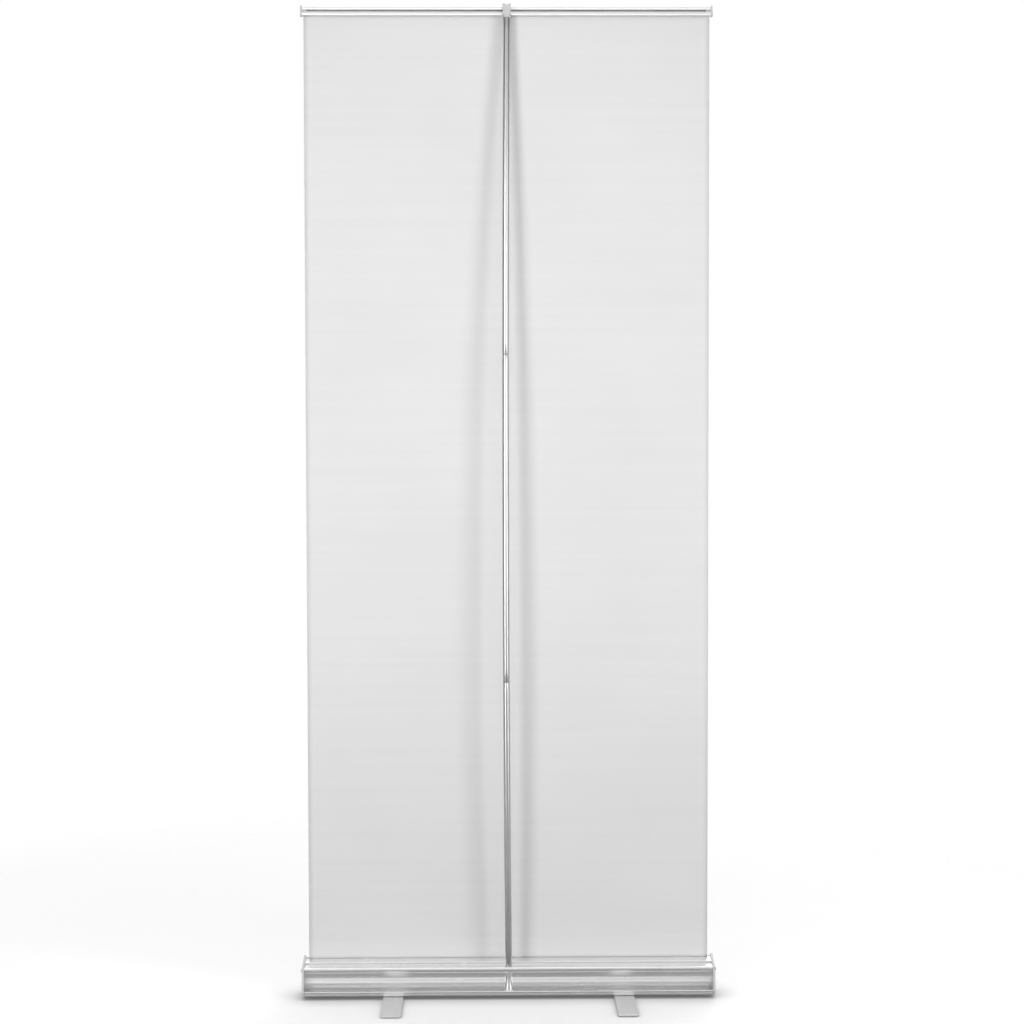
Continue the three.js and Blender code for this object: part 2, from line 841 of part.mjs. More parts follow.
function poleGroup() {
  const group = new THREE.Group();
  const joints = [0, poleBottomLength, topJoint, poleSpan];
  ["bottom", "middle", "top"].forEach((name, i) => {
    const from = joints[i] + (i ? gap : 0);
    const tube = poleTube(poleRadius, tubeBore, from, joints[i + 1], 10);
    group.add(piece(`pole_${name}_tube`, tube, tubeAlloy));
  });
  [["lower_ferrule", poleBottomLength], ["upper_ferrule", topJoint]].forEach(([name, joint]) => {
    const sleeve = poleTube(
      plugRadius,
      plugRadius - poleWall,
      joint - ferruleReach,
      joint + ferruleReach,
      2,
    );
    group.add(piece(name, sleeve, steel));
  });
  group.add(piece("pole_seat_plug", seatPlug(), greyPlastic));
  group.add(piece("pole_head", poleHead(), greyPlastic));
  const cordFrom = seatPlugDepth + 2 * gap;
  const cordTo = poleSpan - headSpigot - 2 * gap;
  const cord = new THREE.ExtrudeGeometry(shapeOf(circle(bungeeRadius, 0, 0, 8)), {
    steps: 24,
    extrudePath: new PoleStretch(cordFrom, cordTo),
    bevelEnabled: false,
  });
  group.add(piece("bungee_cord", cord, elastic));
  return group;
}

// The film's plane stands in front of the feet's pivots, which carry the origin.
const stand = new THREE.Group();
stand.position.y = footPivotDepth;
stand.add(cassetteGroup(), rollerGroup(), railGroup(), poleGroup());
stand.add(footGroup("left", -1), footGroup("right", 1));

const bannerStand = new THREE.Group();
bannerStand.add(stand);

export default bannerStand;
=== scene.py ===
import math

import bmesh
import bpy
from mathutils import Matrix, Vector, noise


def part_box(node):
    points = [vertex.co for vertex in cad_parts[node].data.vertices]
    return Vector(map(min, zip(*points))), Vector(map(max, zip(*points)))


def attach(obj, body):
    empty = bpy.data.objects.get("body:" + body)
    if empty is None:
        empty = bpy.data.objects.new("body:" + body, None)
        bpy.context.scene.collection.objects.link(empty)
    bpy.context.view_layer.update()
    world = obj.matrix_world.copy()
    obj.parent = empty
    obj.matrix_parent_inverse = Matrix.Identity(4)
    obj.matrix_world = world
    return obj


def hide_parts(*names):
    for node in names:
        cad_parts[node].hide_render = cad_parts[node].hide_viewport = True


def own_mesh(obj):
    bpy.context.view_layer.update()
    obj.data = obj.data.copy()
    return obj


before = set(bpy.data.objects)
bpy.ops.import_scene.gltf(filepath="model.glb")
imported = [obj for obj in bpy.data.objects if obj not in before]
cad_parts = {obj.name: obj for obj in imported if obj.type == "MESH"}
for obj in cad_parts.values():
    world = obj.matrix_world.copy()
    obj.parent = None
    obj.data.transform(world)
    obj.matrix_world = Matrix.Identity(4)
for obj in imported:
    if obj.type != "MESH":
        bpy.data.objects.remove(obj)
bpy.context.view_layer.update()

# Roll-up banner stand, seen from the side where its pole stands (-Y).
# Sizes in the dictionaries are millimetres; meshes are metres. A depth is counted
# from the film's plane back towards the pole.
mm = 0.001
filmY = (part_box("banner_sheet")[0].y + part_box("banner_sheet")[1].y) / 2
scene = bpy.context.scene
print("frame loaded,", len(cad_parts), "nodes")


# mesh helpers

def cornerSteps(radius):
    return 2 if radius < 1 else 4 if radius < 3.5 else 8 if radius < 9 else 20


def faceOutwards(bm):
    bmesh.ops.recalc_face_normals(bm, faces=bm.faces)
    if bm.calc_volume(signed=True) < 0:  # a thin tube's rim can turn the whole tube round
        bmesh.ops.reverse_faces(bm, faces=bm.faces)


def roundedOutline(bm, corners, place):
    # corners: (a, b, radius); place turns (a, b) into a point
    verts = [bm.verts.new(place(a, b)) for a, b, _ in corners]
    bm.faces.new(verts)
    for radius in sorted({r for _, _, r in corners if r}):
        group = [v for v, (_, _, r) in zip(verts, corners) if r == radius]
        bmesh.ops.bevel(bm, geom=group, offset=radius * mm, offset_type="OFFSET",
                        segments=cornerSteps(radius), profile=0.5,
                        affect="VERTICES", material=-1)


def extruded(corners, place, move):
    bm = bmesh.new()
    roundedOutline(bm, corners, place)
    made = bmesh.ops.extrude_face_region(bm, geom=list(bm.faces))["geom"]
    top = [item for item in made if isinstance(item, bmesh.types.BMVert)]
    bmesh.ops.translate(bm, verts=top, vec=move)
    faceOutwards(bm)
    return bm


def spun(profile, steps, axis="Z", place=(0, 0, 0), closedLoop=False):
    # profile: (radius, height along the axis), turned all the way round
    bm = bmesh.new()
    verts = [bm.verts.new((r * mm, 0, h * mm)) for r, h in profile]
    ends = verts[1:] + verts[:1] if closedLoop else verts[1:]
    edges = [bm.edges.new(pair) for pair in zip(verts, ends)]
    bmesh.ops.spin(bm, geom=verts + edges, cent=(0, 0, 0), axis=(0, 0, 1),
                   angle=2 * math.pi, steps=steps, use_merge=True, use_duplicate=False)
    bmesh.ops.remove_doubles(bm, verts=bm.verts, dist=1e-6)
    if axis == "X":
        bmesh.ops.rotate(bm, verts=bm.verts, cent=(0, 0, 0),
                         matrix=Matrix.Rotation(math.pi / 2, 3, "Y"))
    bmesh.ops.translate(bm, verts=bm.verts, vec=place)
    faceOutwards(bm)
    return bm


def absorb(bm, *others):
    for other in others:
        spare = bpy.data.meshes.new("spare")
        other.to_mesh(spare)
        other.free()
        bm.from_mesh(spare)
        bpy.data.meshes.remove(spare)
    return bm


def mirroredX(bm):
    bmesh.ops.scale(bm, verts=bm.verts, vec=(-1, 1, 1))
    bmesh.ops.reverse_faces(bm, faces=bm.faces)
    return bm


def cutWith(bm, cutter):
    # takes the cutter's volume out of the shape
    made = []
    for name, part in (("cutBody", bm), ("cutTool", cutter)):
        mesh = bpy.data.meshes.new(name)
        part.to_mesh(mesh)
        part.free()
        made.append(bpy.data.objects.new(name, mesh))
        scene.collection.objects.link(made[-1])
    modifier = made[0].modifiers.new("cut", "BOOLEAN")
    modifier.operation = "DIFFERENCE"
    modifier.solver = "EXACT"
    modifier.object = made[1]
    bpy.context.view_layer.update()
    shaped = made[0].evaluated_get(bpy.context.evaluated_depsgraph_get())
    result = bmesh.new()
    result.from_mesh(shaped.to_mesh())
    shaped.to_mesh_clear()
    for spare in made:
        mesh = spare.data
        bpy.data.objects.remove(spare)
        bpy.data.meshes.remove(mesh)
    return result


def softenRim(bm, chosen, width, steps=3):
    edges = [e for e in bm.edges if chosen(e)]
    bmesh.ops.bevel(bm, geom=edges, offset=width * mm, offset_type="OFFSET",
                    segments=steps, profile=0.5, affect="EDGES", material=-1,
                    clamp_overlap=True)


def finishPiece(name, bm, material, body, nodes=(), angle=32):
    mesh = bpy.data.meshes.new(name)
    bm.to_mesh(mesh)
    bm.free()
    for one in material if isinstance(material, list) else [material]:
        mesh.materials.append(one)
    mesh.shade_smooth()
    mesh.set_sharp_from_angle(angle=math.radians(angle))
    piece = bpy.data.objects.new(name, mesh)
    scene.collection.objects.link(piece)
    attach(piece, body)
    if nodes:
        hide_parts(*nodes)
    return piece


# shared shader groups: each puts out masks and heights only

def newGroup(name, inputs, outputs):
    tree = bpy.data.node_groups.new(name, "ShaderNodeTree")
    for label, kind, value in inputs:
        socket = tree.interface.new_socket(label, in_out="INPUT", socket_type=kind)
        socket.default_value = value
    for label in outputs:
        tree.interface.new_socket(label, in_out="OUTPUT", socket_type="NodeSocketFloat")
    return tree, tree.nodes.new("NodeGroupInput"), tree.nodes.new("NodeGroupOutput")


def addNode(tree, kind, values=None, **settings):
    node = tree.nodes.new(kind)
    for key, value in settings.items():
        setattr(node, key, value)
    for key, value in (values or {}).items():
        if isinstance(value, bpy.types.NodeSocket):
            tree.links.new(value, node.inputs[key])
        else:
            node.inputs[key].default_value = value
    return node


def mathNode(tree, operation, a, b=0.0, clamp=False):
    node = addNode(tree, "ShaderNodeMath", {0: a, 1: b}, operation=operation, use_clamp=clamp)
    return node.outputs[0]


def spread(tree, value, low, high, toLow, toHigh):
    node = addNode(tree, "ShaderNodeMapRange", {"Value": value, "From Min": low, "From Max": high,
                                                "To Min": toLow, "To Max": toHigh})
    return node.outputs["Result"]


def buildDrawnLines():
    # lines left by the die, running along one direction
    tree, inside, outside = newGroup(
        "drawnLines",
        [("Stretch", "NodeSocketVector", (4.0, 900.0, 900.0)),
         ("Soft Stretch", "NodeSocketVector", (0.6, 60.0, 60.0))],
        ["Lines", "Bands", "Height"])
    coords = addNode(tree, "ShaderNodeTexCoord").outputs["Object"]
    made = []
    for label, detail in (("Stretch", 3.0), ("Soft Stretch", 2.0)):
        scaled = addNode(tree, "ShaderNodeVectorMath", {0: coords, 1: inside.outputs[label]},
                         operation="MULTIPLY")
        made.append(addNode(tree, "ShaderNodeTexNoise", {
            "Vector": scaled.outputs[0], "Scale": 1.0, "Detail": detail,
            "Roughness": 0.6}).outputs["Fac"])
    fine = spread(tree, made[0], 0.3, 0.7, 0.0, 1.0)
    soft = spread(tree, made[1], 0.3, 0.7, 0.0, 1.0)
    tree.links.new(fine, outside.inputs["Lines"])
    tree.links.new(soft, outside.inputs["Bands"])
    height = mathNode(tree, "ADD", mathNode(tree, "MULTIPLY", fine, 0.7),
                      mathNode(tree, "MULTIPLY", soft, 0.3))
    tree.links.new(height, outside.inputs["Height"])
    return tree


def buildMouldGrain():
    # spark-eroded mould skin: a fine pebble and a slow mottle
    tree, inside, outside = newGroup(
        "mouldGrain", [("Pebble Scale", "NodeSocketFloat", 1600.0),
                       ("Mottle Scale", "NodeSocketFloat", 14.0)],
        ["Pebble", "Mottle"])
    coords = addNode(tree, "ShaderNodeTexCoord").outputs["Object"]
    cells = addNode(tree, "ShaderNodeTexVoronoi", {"Vector": coords,
                                                   "Scale": inside.outputs["Pebble Scale"]})
    fine = addNode(tree, "ShaderNodeTexNoise", {"Vector": coords, "Detail": 3.0,
                                                "Scale": inside.outputs["Pebble Scale"]})
    pebble = mathNode(tree, "ADD", mathNode(tree, "MULTIPLY", cells.outputs["Distance"], 0.6),
                      mathNode(tree, "MULTIPLY", fine.outputs["Fac"], 0.5))
    slow = addNode(tree, "ShaderNodeTexNoise", {"Vector": coords, "Detail": 4.0,
                                                "Scale": inside.outputs["Mottle Scale"]})
    tree.links.new(pebble, outside.inputs["Pebble"])
    tree.links.new(spread(tree, slow.outputs["Fac"], 0.3, 0.7, 0.0, 1.0), outside.inputs["Mottle"])
    return tree


def buildEdgeWear():
    # rubbed edges: where a rounded normal leaves the true one, broken up by noise
    tree, inside, outside = newGroup(
        "edgeWear", [("Radius", "NodeSocketFloat", 0.0008), ("Gain", "NodeSocketFloat", 6.0),
                     ("Break Scale", "NodeSocketFloat", 220.0)],
        ["Wear"])
    rounded = addNode(tree, "ShaderNodeBevel", {"Radius": inside.outputs["Radius"]}, samples=4)
    plain = addNode(tree, "ShaderNodeNewGeometry").outputs["Normal"]
    agree = addNode(tree, "ShaderNodeVectorMath", {0: rounded.outputs["Normal"], 1: plain},
                    operation="DOT_PRODUCT").outputs["Value"]
    edge = mathNode(tree, "MULTIPLY", mathNode(tree, "SUBTRACT", 1.0, agree),
                    inside.outputs["Gain"], clamp=True)
    coords = addNode(tree, "ShaderNodeTexCoord").outputs["Object"]
    patches = addNode(tree, "ShaderNodeTexNoise", {"Vector": coords, "Detail": 3.0,
                                                   "Scale": inside.outputs["Break Scale"]})
    broken = spread(tree, patches.outputs["Fac"], 0.38, 0.58, 0.15, 1.0)
    tree.links.new(mathNode(tree, "MULTIPLY", edge, broken, clamp=True), outside.inputs["Wear"])
    return tree


def buildHandling():
    # faint smudges from hands and a few hairline scratches
    tree, inside, outside = newGroup(
        "handling", [("Smudge Scale", "NodeSocketFloat", 18.0),
                     ("Scratch Stretch", "NodeSocketVector", (30.0, 400.0, 400.0))],
        ["Smudge", "Scratch"])
    coords = addNode(tree, "ShaderNodeTexCoord").outputs["Object"]
    smudge = addNode(tree, "ShaderNodeTexNoise", {"Vector": coords, "Detail": 5.0,
                                                  "Scale": inside.outputs["Smudge Scale"],
                                                  "Roughness": 0.55})
    tree.links.new(spread(tree, smudge.outputs["Fac"], 0.5, 0.72, 0.0, 1.0),
                   outside.inputs["Smudge"])
    scaled = addNode(tree, "ShaderNodeVectorMath",
                     {0: coords, 1: inside.outputs["Scratch Stretch"]}, operation="MULTIPLY")
    hair = addNode(tree, "ShaderNodeTexNoise", {"Vector": scaled.outputs[0], "Scale": 1.0,
                                                "Detail": 1.0})
    tree.links.new(spread(tree, hair.outputs["Fac"], 0.715, 0.75, 0.0, 1.0),
                   outside.inputs["Scratch"])
    return tree


drawnLines, mouldGrain = buildDrawnLines(), buildMouldGrain()
edgeWear, handling = buildEdgeWear(), buildHandling()


def useGroup(tree, group, values=None):
    node = tree.nodes.new("ShaderNodeGroup")
    node.node_tree = group
    for key, value in (values or {}).items():
        node.inputs[key].default_value = value
    return node.outputs


def newMaterial(name, roughness, metallic=0.0, specular=0.5):
    material = bpy.data.materials.new(name)
    material.use_nodes = True
    tree = material.node_tree
    shader = tree.nodes["Principled BSDF"]
    shader.inputs["Roughness"].default_value = roughness
    shader.inputs["Metallic"].default_value = metallic
    shader.inputs["Specular IOR Level"].default_value = specular
    return material, tree, shader


def grey(level):
    return (level, level, level * 0.998, 1)


def blendColours(tree, factor, first, second):
    node = addNode(tree, "ShaderNodeMix", {"Factor": factor}, data_type="RGBA")
    for index, colour in ((6, first), (7, second)):  # the colour sockets A and B
        if isinstance(colour, bpy.types.NodeSocket):
            tree.links.new(colour, node.inputs[index])
        else:
            node.inputs[index].default_value = colour
    return node.outputs[2]


def addBump(tree, shader, height, strength, distance):
    bump = addNode(tree, "ShaderNodeBump", {"Height": height, "Strength": strength,
                                            "Distance": distance * mm})
    tree.links.new(bump.outputs["Normal"], shader.inputs["Normal"])


# finishes

def metalFinish(name, look):
    # die lines, smudges, scratches and brighter rubbed edges
    material, tree, shader = newMaterial(name, look["roughness"], look["metallic"])
    lines = useGroup(tree, drawnLines, {"Stretch": look["stretch"],
                                        "Soft Stretch": look["softStretch"]})
    marks = useGroup(tree, handling, {"Smudge Scale": look["smudgeScale"],
                                      "Scratch Stretch": look["scratch"]})
    wear = useGroup(tree, edgeWear, {"Radius": look["wearRadius"] * mm})["Wear"]
    dark, light = grey(look["dark"]), grey(look["light"])
    skin = blendColours(tree, lines["Lines"], dark, light)
    banded = blendColours(tree, mathNode(tree, "MULTIPLY", lines["Bands"], look["bands"]),
                          skin, grey(look["dark"] * 0.9))
    rubbed = blendColours(tree, mathNode(tree, "MULTIPLY", wear, look["wear"]),
                          banded, grey(min(1.0, look["light"] * 1.12)))
    tree.links.new(rubbed, shader.inputs["Base Color"])
    vary = look["vary"]
    base = spread(tree, lines["Lines"], 0.0, 1.0, look["roughness"] - vary,
                  look["roughness"] + vary)
    smudged = mathNode(tree, "ADD", base, mathNode(tree, "MULTIPLY", marks["Smudge"], vary))
    rough = mathNode(tree, "ADD", smudged,
                     mathNode(tree, "MULTIPLY", marks["Scratch"], 2 * vary))
    tree.links.new(rough, shader.inputs["Roughness"])
    cuts = mathNode(tree, "SUBTRACT", lines["Height"],
                    mathNode(tree, "MULTIPLY", marks["Scratch"], 0.8))
    addBump(tree, shader, cuts, look["bump"], look["bumpDepth"])
    return material


def mouldedFinish(name, look):
    material, tree, shader = newMaterial(name, look["roughness"], 0.0, look["specular"])
    grain = useGroup(tree, mouldGrain, {"Pebble Scale": look["pebble"],
                                        "Mottle Scale": look["mottleScale"]})
    marks = useGroup(tree, handling, {"Smudge Scale": 40.0})
    wear = useGroup(tree, edgeWear, {"Radius": look["wearRadius"] * mm})["Wear"]
    skin = blendColours(tree, grain["Mottle"], look["dark"], look["light"])
    rubbed = blendColours(tree, mathNode(tree, "MULTIPLY", wear, look["wear"]), skin,
                          look["edge"])
    tree.links.new(rubbed, shader.inputs["Base Color"])
    rough = spread(tree, grain["Pebble"], 0.0, 1.0, look["roughness"] - 0.07,
                   look["roughness"] + 0.07)
    shine = mathNode(tree, "SUBTRACT", rough, mathNode(tree, "MULTIPLY", marks["Smudge"], 0.07))
    tree.links.new(shine, shader.inputs["Roughness"])
    height = mathNode(tree, "SUBTRACT", grain["Pebble"],
                      mathNode(tree, "MULTIPLY", marks["Scratch"], 0.5))
    addBump(tree, shader, height, look["bump"], look["bumpDepth"])
    return material


def filmFinish(name, look):
    # blockout film: an embossed matt skin with slow waves of tone, on its own UV map
    material, tree, shader = newMaterial(name, look["roughness"], 0.0, look["specular"])
    uv = addNode(tree, "ShaderNodeUVMap", uv_map="film").outputs["UV"]
    emboss = addNode(tree, "ShaderNodeTexVoronoi", {"Vector": uv, "Scale": look["emboss"],
                                                    "Randomness": 0.9})
    fibre = addNode(tree, "ShaderNodeTexNoise", {"Vector": uv, "Scale": look["emboss"] * 0.6,
                                                 "Detail": 3.0})
    drawn = addNode(tree, "ShaderNodeVectorMath", {0: uv, 1: look["rollLines"]},
                    operation="MULTIPLY")
    rollLines = addNode(tree, "ShaderNodeTexNoise", {"Vector": drawn.outputs[0], "Scale": 1.0,
                                                     "Detail": 2.0})
    cloud = addNode(tree, "ShaderNodeTexNoise", {"Vector": uv, "Scale": look["cloud"],
                                                 "Detail": 3.0})
    tone = mathNode(tree, "ADD", mathNode(tree, "MULTIPLY", cloud.outputs["Fac"], 0.6),
                    mathNode(tree, "MULTIPLY", rollLines.outputs["Fac"], 0.4))
    slow = spread(tree, tone, 0.35, 0.65, 0.0, 1.0)
    skin = blendColours(tree, slow, look["dark"], look["light"])
    speck = spread(tree, fibre.outputs["Fac"], 0.35, 0.65, 0.0, look["speckle"])
    tree.links.new(blendColours(tree, speck, skin, look["dark"]), shader.inputs["Base Color"])
    rough = spread(tree, fibre.outputs["Fac"], 0.3, 0.7, look["roughness"] - 0.06,
                   look["roughness"] + 0.06)
    tree.links.new(rough, shader.inputs["Roughness"])
    height = mathNode(tree, "ADD", mathNode(tree, "MULTIPLY", emboss.outputs["Distance"], 0.5),
                      mathNode(tree, "MULTIPLY", fibre.outputs["Fac"], 0.5))
    addBump(tree, shader, height, look["bump"], look["bumpDepth"])
    return material


def cordFinish(name, look):
    # a braid: two sets of slanting strands round the cord
    material, tree, shader = newMaterial(name, look["roughness"], 0.0, 0.3)
    coords = addNode(tree, "ShaderNodeTexCoord").outputs["Object"]
    waves = []
    for slant in (1, -1):
        turned = addNode(tree, "ShaderNodeMapping", {"Vector": coords,
                                                     "Rotation": (0.7 * slant, 0.7 * slant, 0)})
        waves.append(addNode(tree, "ShaderNodeTexWave", {
            "Vector": turned.outputs[0], "Scale": look["strands"],
            "Distortion": 0.4}).outputs["Fac"])
    braid = mathNode(tree, "MULTIPLY", waves[0], waves[1])
    tree.links.new(blendColours(tree, braid, look["dark"], look["light"]),
                   shader.inputs["Base Color"])
    tree.links.new(spread(tree, braid, 0, 1, look["roughness"] + 0.05, look["roughness"] - 0.1),
                   shader.inputs["Roughness"])
    addBump(tree, shader, braid, 0.5, 0.15)
    return material


alongX = {"stretch": (1.2, 1500.0, 1500.0), "softStretch": (0.12, 110.0, 110.0),
          "scratch": (25.0, 500.0, 500.0)}
alongY = {"stretch": (1400.0, 6.0, 1400.0), "softStretch": (120.0, 1.5, 120.0),
          "scratch": (420.0, 30.0, 420.0)}
alongZ = {"stretch": (1500.0, 1500.0, 4.0), "softStretch": (160.0, 160.0, 1.0),
          "scratch": (600.0, 600.0, 18.0)}

finishes = {
    "anodisedBar": metalFinish("anodisedBar", {
        **alongX, "metallic": 1.0, "roughness": 0.25, "vary": 0.02, "dark": 0.88, "light": 0.94,
        "bands": 0.15, "smudgeScale": 9.0, "wearRadius": 0.7, "wear": 0.25, "bump": 0.08,
        "bumpDepth": 0.012}),
    "anodisedRail": metalFinish("anodisedRail", {
        **alongX, "metallic": 1.0, "roughness": 0.36, "vary": 0.02, "dark": 0.86, "light": 0.92,
        "bands": 0.15, "smudgeScale": 9.0, "wearRadius": 0.7, "wear": 0.25, "bump": 0.08,
        "bumpDepth": 0.012}),
    "anodisedFoot": metalFinish("anodisedFoot", {
        **alongY, "metallic": 0.8, "roughness": 0.55, "vary": 0.05, "dark": 0.75, "light": 0.83,
        "bands": 0.3, "smudgeScale": 14.0, "wearRadius": 0.9, "wear": 0.8, "bump": 0.15,
        "bumpDepth": 0.05}),
    "drawnTube": metalFinish("drawnTube", {
        **alongZ, "metallic": 1.0, "roughness": 0.3, "vary": 0.03, "dark": 0.50, "light": 0.62,
        "bands": 0.3, "smudgeScale": 22.0, "wearRadius": 0.4, "wear": 0.5, "bump": 0.1,
        "bumpDepth": 0.03}),
    "socketTube": metalFinish("socketTube", {
        **alongZ, "metallic": 1.0, "roughness": 0.3, "vary": 0.03, "dark": 0.74, "light": 0.86,
        "bands": 0.3, "smudgeScale": 30.0, "wearRadius": 0.4, "wear": 0.5, "bump": 0.08,
        "bumpDepth": 0.03}),
    "zincSteel": metalFinish("zincSteel", {
        **alongX, "metallic": 1.0, "roughness": 0.36, "vary": 0.06, "dark": 0.5, "light": 0.64,
        "bands": 0.5, "smudgeScale": 60.0, "wearRadius": 0.3, "wear": 0.7, "bump": 0.12,
        "bumpDepth": 0.03}),
    "greyMould": mouldedFinish("greyMould", {
        "roughness": 0.5, "specular": 0.45, "pebble": 1700.0, "mottleScale": 16.0,
        "dark": (0.40, 0.405, 0.41, 1), "light": (0.47, 0.475, 0.48, 1),
        "edge": (0.62, 0.625, 0.63, 1), "wearRadius": 0.7, "wear": 0.7,
        "bump": 0.25, "bumpDepth": 0.06}),
    "paleMould": mouldedFinish("paleMould", {
        "roughness": 0.46, "specular": 0.45, "pebble": 1500.0, "mottleScale": 12.0,
        "dark": (0.54, 0.545, 0.55, 1), "light": (0.60, 0.605, 0.61, 1),
        "edge": (0.74, 0.74, 0.74, 1), "wearRadius": 0.7, "wear": 0.6,
        "bump": 0.22, "bumpDepth": 0.06}),
    "nylon": mouldedFinish("nylon", {
        "roughness": 0.42, "specular": 0.5, "pebble": 1100.0, "mottleScale": 20.0,
        "dark": (0.72, 0.71, 0.66, 1), "light": (0.80, 0.79, 0.75, 1),
        "edge": (0.86, 0.86, 0.83, 1), "wearRadius": 0.5, "wear": 0.4,
        "bump": 0.15, "bumpDepth": 0.05}),
    "rubber": mouldedFinish("rubber", {
        "roughness": 0.78, "specular": 0.3, "pebble": 900.0, "mottleScale": 45.0,
        "dark": (0.018, 0.018, 0.019, 1), "light": (0.032, 0.032, 0.033, 1),
        "edge": (0.075, 0.075, 0.075, 1), "wearRadius": 0.6, "wear": 0.8,
        "bump": 0.4, "bumpDepth": 0.12}),
    "filmBack": filmFinish("filmBack", {
        "roughness": 0.62, "specular": 0.32, "emboss": 900.0, "speckle": 0.35,
        "rollLines": (1.5, 70.0, 1.0), "cloud": 3.2,
        "dark": (0.70, 0.70, 0.70, 1), "light": (0.735, 0.735, 0.733, 1),
        "bump": 0.12, "bumpDepth": 0.06}),
    "filmFace": filmFinish("filmFace", {
        "roughness": 0.4, "specular": 0.5, "emboss": 1300.0, "speckle": 0.2,
        "rollLines": (1.5, 70.0, 1.0), "cloud": 3.2,
        "dark": (0.83, 0.83, 0.825, 1), "light": (0.86, 0.86, 0.858, 1),
        "bump": 0.08, "bumpDepth": 0.04}),
    "elasticCord": cordFinish("elasticCord", {
        "roughness": 0.75, "strands": 260.0, "dark": (0.012, 0.012, 0.013, 1),
        "light": (0.05, 0.05, 0.052, 1)}),
}
print("finishes made,", len(finishes))


# camera, floor and light

studio = {
    "camera": {"place": (-0.050, -4.509, 1.231), "turn": (87.39, 0.107, -0.755), "lens": 75.41},
    "rightBox": {"place": (2.05, -1.6, 0.92), "size": (0.75, 2.8), "power": 33},
    "leftBox": {"place": (-1.67, -1.99, 0.92), "size": (0.8, 2.8), "power": 37},
    # gridded panels on an arc behind the camera, each turned to the pole
    "frontPanels": {"turns": (-32, -16, 0, 16, 32), "away": 4.7, "height": 1.95,
                    "size": (1.3, 2.2), "power": 0.42, "spread": 28, "aim": (0, 0, 1.55)},
    "overhead": {"place": (0.0, 0.0, 3.9), "size": (3.2, 3.2), "power": 31},
    "backBox": {"place": (1.6, 4.2, 2.2), "size": (2.4, 2.4), "power": 45},
    "aim": (0.0, 0.0, 0.9),
    "floorRadius": 16.0,
    "floorFade": (3.5, 12.0),     # where reflections lose the floor, from and to
    "floorFadeSeen": (0.7, 2.2),  # and where the camera does
    "floorSeen": 0.87,            # how pale the floor is to the camera
    "floorFelt": 0.33,            # and how much light it sends back to the stand
    "floorGlow": 0.10,
    "contactReach": 0.09, "contactShade": 0.3,  # the shade right under the stand
    "worldFront": 0.44, "worldSide": 0.04, "worldBack": 0.9, "worldTop": 0.5,
}


def addCamera(look):
    data = bpy.data.cameras.new("studioCamera")
    data.sensor_width = 36
    data.lens = look["lens"]
    camera = bpy.data.objects.new("studioCamera", data)
    camera.location = look["place"]
    camera.rotation_euler = [math.radians(a) for a in look["turn"]]
    scene.collection.objects.link(camera)
    scene.camera = camera


def addSoftbox(name, look, aim, spread=180):
    data = bpy.data.lights.new(name, "AREA")
    data.shape = "RECTANGLE"
    data.size, data.size_y = look["size"]
    data.energy = look["power"]
    data.spread = math.radians(spread)
    box = bpy.data.objects.new(name, data)
    box.location = look["place"]
    away = Vector(look["place"]) - Vector(aim)
    box.rotation_euler = away.to_track_quat("Z", "Y").to_euler()
    box.visible_camera = False
    scene.collection.objects.link(box)


def addFloor(look):
    bm = bmesh.new()
    bmesh.ops.create_circle(bm, cap_ends=True, segments=96, radius=look["floorRadius"])
    mesh = bpy.data.meshes.new("studioFloor")
    bm.to_mesh(mesh)
    bm.free()
    floor = bpy.data.objects.new("studioFloor", mesh)
    scene.collection.objects.link(floor)
    material, tree, shader = newMaterial("studioFloor", 0.75, 0.0, 0.2)
    coords = addNode(tree, "ShaderNodeTexCoord").outputs["Object"]
    grain = addNode(tree, "ShaderNodeTexNoise", {"Vector": coords, "Scale": 60.0, "Detail": 4.0})
    seen = addNode(tree, "ShaderNodeLightPath").outputs["Is Camera Ray"]
    pale = blendColours(tree, grain.outputs["Fac"], grey(look["floorSeen"]),
                        grey(look["floorSeen"] + 0.03))
    # painted shade: an AO mask darkens the floor's colour close to the stand, for the camera only
    contact = addNode(tree, "ShaderNodeAmbientOcclusion", {"Distance": look["contactReach"]},
                      samples=12)
    shaded = blendColours(tree, contact.outputs["AO"], grey(look["contactShade"]), pale)
    tree.links.new(blendColours(tree, seen, grey(look["floorFelt"]), shaded),
                   shader.inputs["Base Color"])
    shader.inputs["Emission Color"].default_value = (1, 1, 1, 1)
    tree.links.new(mathNode(tree, "MULTIPLY", seen, look["floorGlow"]),
                   shader.inputs["Emission Strength"])
    reach = addNode(tree, "ShaderNodeVectorMath", {0: coords}, operation="LENGTH")
    fades = [spread(tree, reach.outputs["Value"], near, far, 0.0, 1.0)
             for near, far in (look["floorFade"], look["floorFadeSeen"])]
    gone = addNode(tree, "ShaderNodeMix", {0: seen, 2: fades[0], 3: fades[1]},
                   data_type="FLOAT").outputs[0]
    clear = addNode(tree, "ShaderNodeBsdfTransparent")
    fade = addNode(tree, "ShaderNodeMixShader", {0: gone, 1: shader.outputs[0],
                                                 2: clear.outputs[0]})
    tree.links.new(fade.outputs[0], tree.nodes["Material Output"].inputs["Surface"])
    mesh.materials.append(material)


